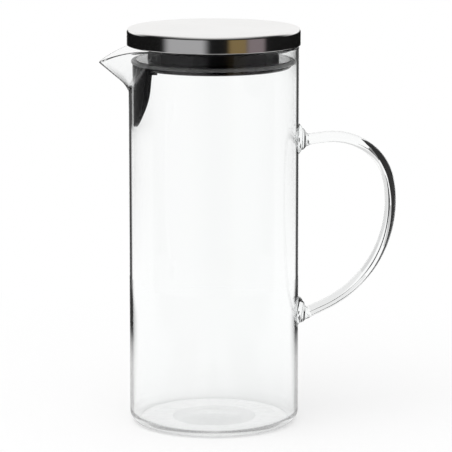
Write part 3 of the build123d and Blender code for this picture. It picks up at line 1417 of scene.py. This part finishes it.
@dataclass
class Studio:
    """Pale floor, soft light, cards, strips that paint streaks into the handle, and the camera.

    Pairs of numbers are where a change begins and ends, or the values before and after it. A third number is
    how soft both edges of a window are.
    """

    # The camera, in millimetres and degrees, and how far it sees, in metres.
    distance: float = 1809.3
    eye_height: float = 446.6
    shift: float = 7.5
    pitch: float = 10.145
    focal_pixels: float = 2963.3
    far_clip: float = 50.0
    # The floor. Distances are from the jug's axis.
    floor_radius: float = 480.0
    floor_columns: int = 96
    floor_rings: int = 12
    paper: tuple[Colour, Colour] = ((0.9, 0.9, 0.9, 1.0), (0.87, 0.87, 0.87, 1.0))
    paper_scale: float = 8.0
    floor_plain: tuple[float, float] = (130.0, 420.0)
    floor_white: float = 0.7
    floor_under: float = 0.8
    under_edge: float = 0.9
    # What light mirrored in the glass meets on the floor. Walls are counted in surfaces of glass.
    one_wall: int = 2
    two_walls: int = 4
    floor_dark: tuple[float, float] = (170.0, 310.0)
    floor_dim: tuple[float, float] = (0.5, 1.0)
    floor_tone: Colour = (0.04, 0.04, 0.04, 1.0)
    reach_from: tuple[float, float] = (330.0, 470.0)
    dim_reach: tuple[float, float] = (48.0, 31.0)
    dim_soft: tuple[float, float] = (-10.0, 10.0)
    front_fade: tuple[float, float] = (200.0, 420.0)
    # What it meets round about, in degrees to the side and above the horizon.
    dim_from: tuple[float, float] = (5.0, 12.0)
    edge_tone: Colour = (0.11, 0.11, 0.11, 1.0)
    across: tuple[float, float] = (-1.0, 1.0)
    ahead_soft: tuple[float, float] = (-0.1, 0.1)
    lid_rise: tuple[float, float] = (-8.25, -7.0)
    lid_soft: tuple[float, float] = (-0.1, 0.1)
    side_fill: tuple[float, float, float] = (31.0, 90.0, 8.0)
    fill_rise: tuple[float, float] = (-8.2, -7.0)
    fill_soft: tuple[float, float] = (0.0, 0.4)
    spout_dark: tuple[float, float] = (-13.5, -12.0)
    inner_fade: tuple[float, float] = (-11.5, -8.5)
    flag: tuple[float, float, float] = (8.0, 27.0, 5.0)
    front_flag: tuple[float, float] = (24.5, 29.5)
    # Strips behind the handle that paint its dark and grey streaks.
    strip_back: float = 12.0
    strip_gap: float = 0.1
    strip_points: int = 60
    strip_scale: float = 20.0
    strip_spread: tuple[float, float] = (0.97, 1.03)
    strips: tuple[Strip, ...] = (
        Strip(0.03, ((31.5, 0.72, 0.74), (36.0, 0.32, 0.93), (41.0, 0.12, 0.96), (47.0, -0.12, 0.95))),
        Strip(0.03, ((47.0, -0.12, 0.95), (53.6, -0.18, 0.93), (62.5, -0.06, 0.9), (75.0, 0.16, 0.95))),
        Strip(0.03, ((75.0, 0.16, 0.95), (87.6, 0.33, 0.93), (104.0, 0.6, 0.92), (118.5, 0.74, 0.95))),
        Strip(0.03, ((118.5, 0.74, 0.95), (131.0, 0.8, 0.87), (146.0, 0.7, 0.82), (169.0, 0.74, 0.79))),
        Strip(0.03, ((31.0, -0.35, -0.33), (37.0, -0.3, -0.2), (42.0, -0.15, -0.05))),
        Strip(0.03, ((58.0, -0.46, -0.42), (62.5, -0.4, -0.26), (75.0, -0.38, -0.08), (87.6, -0.3, -0.1))),
        Strip(0.03, ((87.6, -0.3, -0.1), (104.0, -0.08, 0.1), (118.5, 0.05, 0.24), (131.0, 0.14, 0.17))),
        Strip(0.03, ((131.0, 0.14, 0.17), (146.0, 0.12, 0.21), (160.0, 0.1, 0.19), (168.0, 0.1, 0.16))),
        Strip(0.25, ((38.0, -0.25, 0.2), (41.0, -0.34, 0.15), (48.0, -0.3, -0.1))),
        Strip(0.55, ((78.0, -0.1, 0.2), (88.0, -0.05, 0.3), (104.0, 0.45, 0.6))),
        Strip(0.72, ((12.0, -0.95, -0.9), (30.0, -0.93, -0.75), (40.0, -0.88, -0.42), (50.0, -0.66, -0.42))),
        Strip(0.76, ((50.0, -0.66, -0.42), (58.0, -0.9, -0.5), (75.0, -0.93, -0.45), (104.0, -0.93, -0.55))),
        Strip(0.72, ((104.0, -0.93, -0.55), (118.5, -0.93, -0.4), (125.0, -0.93, -0.4))),
        Strip(0.85, ((125.0, -0.9, -0.4), (146.0, -0.9, 0.05), (166.0, -0.9, 0.05))),
        Strip(0.84, ((125.0, 0.3, 0.7), (146.0, 0.22, 0.7), (168.0, 0.22, 0.7))),
    )
    # The room that the steel mirrors, in the same degrees.
    backdrop: tuple[float, float] = (12.0, 16.0)
    back_wall: tuple[float, float] = (40.0, 80.0)
    back_rise: tuple[float, float] = (2.0, 10.0)
    ceiling_rise: tuple[float, float] = (25.0, 110.0)
    room_tone: Colour = (0.005, 0.005, 0.005, 1.0)
    card_rise: tuple[float, float, float] = (-30.0, 16.0, 8.0)
    cards: tuple[Card, ...] = (
        Card(-66.0, -10.0, 14.0, (0.4, 0.4, 0.41, 1.0)),
        Card(20.0, 45.0, 8.0, (0.21, 0.15, 0.065, 1.0)),
        Card(45.0, 71.0, 8.0, (0.21, 0.175, 0.185, 1.0)),
    )
    # The lamp, in metres, and the light from all round.
    lamp_size: float = 1.3
    lamp_place: tuple[float, float, float] = (-0.35, -0.5, 1.5)
    lamp_aim: tuple[float, float, float] = (0.0, 0.0, 0.1)
    lamp_power: float = 13.0
    ambient: float = 0.75

    def camera(self) -> None:
        """Places the camera where the photograph was taken from."""
        data = bpy.data.cameras.new("camera")
        eye = bpy.data.objects.new("camera", data)
        bpy.context.scene.collection.objects.link(eye)
        eye.location = Vector((self.shift, -self.distance, self.eye_height)) * MM
        eye.rotation_euler = (math.radians(RIGHT_ANGLE - self.pitch), 0.0, 0.0)
        data.lens = data.sensor_width * self.focal_pixels / IMAGE_PIXELS
        data.clip_end = self.far_clip
        bpy.context.scene.camera = eye

    def floor(self) -> None:
        """Lays a pale round floor that keeps a soft shadow and is plain white further out."""
        count, rings = self.floor_columns, self.floor_rings
        points = [(0.0, 0.0, 0.0)]
        for ring in range(1, rings + 1):
            out = self.floor_radius * MM * ring / rings
            turns = [2 * math.pi * column / count for column in range(count)]
            points += [(out * math.cos(turn), out * math.sin(turn), 0.0) for turn in turns]
        faces = [(0, 1 + column, 1 + (column + 1) % count) for column in range(count)]
        faces += [face[::-1] for face in grid_faces(rings, count, 1, True)]
        mesh = bpy.data.meshes.new("floor")
        mesh.from_pydata(points, [], faces)
        floor = new_object("floor", mesh)
        mesh.materials.append(self.floor_material())

    def floor_material(self) -> bpy.types.Material:
        """Paints the floor: paper near the jug, white further out, and darker where only glass mirrors it.

        Returns:
            The material.
        """
        material, tree, output = bare_material("pale_floor")
        place = tree.add("ShaderNodeTexCoord").outputs["Object"]
        length = tree.add("ShaderNodeVectorMath", operation="LENGTH")
        tree.put(length.inputs[0], place)
        out = length.outputs["Value"]
        x, y, _ = tree.axes(place)
        rays = tree.add("ShaderNodeLightPath").outputs
        plain = tree.ramp(out, *self.metres(self.floor_plain), self.floor_white, 1.0)
        foot = GlassJug.radius * MM
        plain = tree.times(plain, tree.ramp(out, self.under_edge * foot, foot, self.floor_under, 1.0))
        seen = tree.math(Blend.MAXIMUM, rays["Is Camera Ray"], rays["Is Glossy Ray"])
        seen = tree.math(Blend.MAXIMUM, seen, rays["Is Transmission Ray"])
        beside = tree.math(Blend.SUBTRACT, tree.math(Blend.ABSOLUTE, x), foot)
        angle = tree.math(Blend.ARCTAN2, beside, tree.math(Blend.ABSOLUTE, y))
        angle = tree.math(Blend.ABSOLUTE, tree.times(angle, DEGREES))
        reach = tree.ramp(out, *self.metres(self.reach_from), *self.dim_reach)
        fall = tree.ramp(tree.math(Blend.SUBTRACT, angle, reach), *self.dim_soft, 1.0, 0.0)
        outside = tree.math(Blend.LESS_THAN, rays["Transmission Depth"], 0.5)
        outside = tree.times(outside, rays["Is Glossy Ray"])
        thin = tree.math(Blend.MAXIMUM, outside, self.bounced(tree, rays, self.one_wall))
        away = tree.ramp(out, *self.metres(self.floor_dark), *self.floor_dim)
        room = tree.times(tree.ramp(angle, *self.dim_from), fall, thin, away)
        front = tree.ramp(y, -self.front_fade[0] * MM, 0.0, 1.0, 0.0)
        thick = tree.math(Blend.MAXIMUM, outside, self.bounced(tree, rays, self.two_walls))
        front = tree.times(front, tree.ramp(out, *self.metres(self.front_fade)), thick)
        paper = tree.add("ShaderNodeBsdfDiffuse")
        shade = tree.noise(place, self.paper_scale)
        tree.put(paper.inputs["Color"], tree.mix(shade, *self.paper))
        white = tree.add("ShaderNodeEmission")
        dim = tree.mix(room, WHITE, self.floor_tone)
        tree.put(white.inputs["Color"], tree.mix(front, dim, self.edge_tone))
        share = tree.math(Blend.MAXIMUM, room, tree.times(plain, seen))
        tree.put(output.inputs["Surface"], tree.layer(share, paper.outputs[0], white.outputs[0]))
        return material

    @staticmethod
    def metres(span: Sequence[float]) -> list[float]:
        """Gives lengths in metres."""
        return [length * MM for length in span]

    def bounced(self, tree: Tree, rays: Any, layers: int) -> Socket:
        """Tells the light that has been mirrored on its way through few enough layers of glass.

        Args:
            tree: The tree to add to.
            rays: The light path's outputs.
            layers: The most surfaces of glass that it may have passed.

        Returns:
            A socket with 1 for such light and 0 for the rest.
        """
        mirrored = tree.math(Blend.MINIMUM, rays["Glossy Depth"], 1.0)
        thin = tree.math(Blend.LESS_THAN, rays["Transmission Depth"], layers + 0.5)
        return tree.times(mirrored, thin, rays["Is Transmission Ray"])

    def straight(self, tree: Tree, rays: Any) -> Socket:
        """Tells the light that came straight through a single layer of glass, as it does in the rod.

        Args:
            tree: The tree to add to.
            rays: The light path's outputs.

        Returns:
            A socket with 1 for such light and 0 for the rest.
        """
        single = tree.math(Blend.LESS_THAN, rays["Transmission Depth"], self.one_wall + 0.5)
        plain = tree.math(Blend.LESS_THAN, rays["Glossy Depth"], 0.5)
        return tree.times(single, plain, rays["Is Transmission Ray"])

    def through_rod(self, share: np.ndarray) -> np.ndarray:
        """Where light through the rod lands behind it, bent as a round rod of glass bends it.

        Args:
            share: Distance from the rod's middle at which it enters, in rod radii, positive outwards.

        Returns:
            Distances from the line of sight through the rod's middle, positive inwards.
        """
        turn = 2.0 * (np.arcsin(share) - np.arcsin(share / ClearGlass.ior))
        off = share * GlassJug.rod_radius
        run = (self.strip_back - off * np.sin(turn)) / np.cos(turn)
        return run * np.sin(turn) - off * np.cos(turn)

    def handle_strips(self) -> None:
        """Stands dark and grey strips close behind the handle, which only the light through the rod meets, to
        paint the rod's dark and grey streaks.
        """
        line = np.array(GlassJug().grip_line())
        along = np.gradient(line, axis=0)
        reach = np.concatenate([[0.0], np.cumsum(np.hypot(*np.diff(line, axis=0).T))])
        along /= np.hypot(*along.T)[:, None]
        points: list[tuple[float, float, float]] = []
        faces: list[tuple[int, ...]] = []
        tones: list[float] = []
        for layer, strip in enumerate(self.strips):
            stops, *edges = np.array(strip.outline).T
            stations = np.linspace(stops[0], stops[-1], self.strip_points)
            back = self.strip_back + layer * self.strip_gap
            x, z, way_x, way_z = (np.interp(stations, reach, values) for values in (*line.T, *along.T))
            start = len(points)
            for edge in edges:
                off = self.through_rod(np.interp(stations, stops, edge))
                side, height = x + way_z * off, z - way_x * off
                side = side + (side - self.shift) * back / self.distance
                height = height + (height - self.eye_height) * back / self.distance
                points += [(a * MM, back * MM, b * MM) for a, b in zip(side.tolist(), height.tolist())]
            faces += grid_faces(len(edges), self.strip_points, start)
            tones += [strip.tone] * (self.strip_points - 1)
        mesh = bpy.data.meshes.new("handle_strips")
        mesh.from_pydata(points, [], faces)
        mesh.attributes.new("tone", "FLOAT", "FACE").data.foreach_set("value", tones)
        card = new_object("handle_strips", mesh)
        card.visible_camera = card.visible_diffuse = False
        card.visible_glossy = card.visible_shadow = False
        mesh.materials.append(self.strip_material())

    def strip_material(self) -> bpy.types.Material:
        """Paints the strips, each in its own glowing tone, for the light through the rod alone; the tones are
        painted shade and light in the rod.

        Returns:
            The material.
        """
        material, tree, output = bare_material("painted_rod_streaks")
        shade = tree.noise(tree.add("ShaderNodeTexCoord").outputs["Object"], self.strip_scale)
        tone = tree.add("ShaderNodeAttribute", attribute_name="tone").outputs["Fac"]
        glow = tree.add("ShaderNodeEmission")
        # The strips glow in their tones: painted dark and grey streaks in the handle's glass.
        tree.put(glow.inputs["Color"], tree.times(tone, tree.ramp(shade, 0.0, 1.0, *self.strip_spread)))
        share = self.straight(tree, tree.add("ShaderNodeLightPath").outputs)
        clear = tree.add("ShaderNodeBsdfTransparent")
        tree.put(output.inputs["Surface"], tree.layer(share, clear.outputs[0], glow.outputs[0]))
        return material

    def lamp(self) -> None:
        """Hangs one large soft box above and a little in front."""
        data = bpy.data.lights.new("soft_box", "AREA")
        data.shape = "DISK"
        data.size = self.lamp_size
        data.energy = self.lamp_power
        lamp = bpy.data.objects.new("soft_box", data)
        bpy.context.scene.collection.objects.link(lamp)
        lamp.location = self.lamp_place
        way = Vector(self.lamp_aim) - lamp.location
        lamp.rotation_euler = way.to_track_quat("-Z", "Y").to_euler()
        lamp.visible_camera = False
        lamp.visible_glossy = False
        lamp.visible_transmission = False

    def world(self) -> None:
        """Surrounds the scene with white, and with the studio's cards where metal and glass show them."""
        world = bpy.data.worlds.new("studio")
        bpy.context.scene.world = world
        world.use_nodes = True
        world.node_tree.nodes.clear()
        tree = Tree(world.node_tree)
        x, y, z = tree.axes(tree.add("ShaderNodeTexCoord").outputs["Generated"])
        behind = tree.times(tree.math(Blend.ARCTAN2, x, y), DEGREES)
        front = tree.times(tree.math(Blend.ARCTAN2, x, tree.times(y, -1.0)), DEGREES)
        rise = tree.times(tree.math(Blend.ARCSINE, z), DEGREES)
        side = tree.math(Blend.ABSOLUTE, behind)
        rays = tree.add("ShaderNodeLightPath").outputs
        mirrored = self.seen_in_metal(tree, side, front, rise)
        level = (self.ambient, self.ambient, self.ambient, 1.0)
        under = tree.math(Blend.SUBTRACT, tree.ramp(behind, *self.across, *self.fill_rise), rise)
        fill = tree.times(tree.window(side, *self.side_fill), tree.ramp(under, *self.fill_soft))
        fill = tree.times(fill, rays["Is Singular Ray"])
        colour = tree.mix(rays["Is Glossy Ray"], level, tree.mix(fill, mirrored, WHITE))
        colour = tree.mix(rays["Is Transmission Ray"], colour, WHITE)
        ahead = tree.ramp(y, *self.ahead_soft, 1.0, 0.0)
        beside = tree.ramp(side, *self.dim_from)
        inner = tree.times(beside, tree.ramp(rise, *self.inner_fade))
        deep = tree.mix(ahead, tree.mix(inner, WHITE, self.edge_tone), mirrored)
        colour = tree.mix(self.bounced(tree, rays, self.two_walls), colour, deep)
        over = tree.math(Blend.SUBTRACT, rise, tree.ramp(behind, *self.across, *self.lid_rise))
        beside = tree.times(beside, tree.ramp(over, *self.lid_soft))
        beside = tree.math(Blend.MAXIMUM, beside, tree.window(side, *self.flag))
        beside = tree.math(Blend.MAXIMUM, beside, tree.ramp(rise, *self.spout_dark, 1.0, 0.0))
        near = tree.mix(tree.ramp(tree.math(Blend.ABSOLUTE, front), *self.front_flag), mirrored, WHITE)
        edge = tree.mix(ahead, tree.mix(beside, WHITE, self.edge_tone), near)
        colour = tree.mix(self.bounced(tree, rays, self.one_wall), colour, edge)
        colour = tree.mix(rays["Is Camera Ray"], colour, WHITE)
        light = tree.add("ShaderNodeBackground")
        tree.put(light.inputs["Color"], colour)
        output = tree.add("ShaderNodeOutputWorld")
        tree.put(output.inputs["Surface"], light.outputs[0])

    def seen_in_metal(self, tree: Tree, side: Socket, front: Socket, rise: Socket) -> Socket:
        """A dim room with a white backdrop, a bright ceiling and cards by the camera.

        Args:
            tree: The world's tree.
            side: Degrees from straight behind, to either side.
            front: Degrees from the camera's side, positive to the right.
            rise: Degrees above the horizon.

        Returns:
            The colour's socket.
        """
        backdrop = tree.ramp(side, *self.backdrop, 1.0, 0.0)
        back = tree.ramp(side, *self.back_wall, 1.0, 0.0)
        low_light = tree.times(tree.ramp(rise, *self.back_rise), back)
        ceiling = tree.math(Blend.MAXIMUM, tree.ramp(rise, *self.ceiling_rise), low_light)
        white = tree.math(Blend.MAXIMUM, backdrop, ceiling)
        low = tree.window(rise, *self.card_rise)
        colour: Any = self.room_tone
        for card in self.cards:
            share = tree.times(tree.window(front, card.start, card.end, card.soft), low)
            colour = tree.mix(share, colour, card.tone)
        return tree.mix(white, colour, WHITE)

    def build(self) -> None:
        """Sets up the whole studio."""
        self.camera()
        self.floor()
        self.handle_strips()
        self.lamp()
        self.world()
        bpy.context.scene.view_settings.view_transform = "Standard"


def main() -> None:
    """Builds the pitcher around the frame."""
    logging.basicConfig(level=logging.INFO, format="%(name)s: %(message)s")
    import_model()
    steps: Sequence[Callable[[], None]] = (GlassJug().build, Lid().build, Studio().build)
    for step in steps:
        step()
    bpy.context.view_layer.update()


if __name__ == "__main__":
    main()
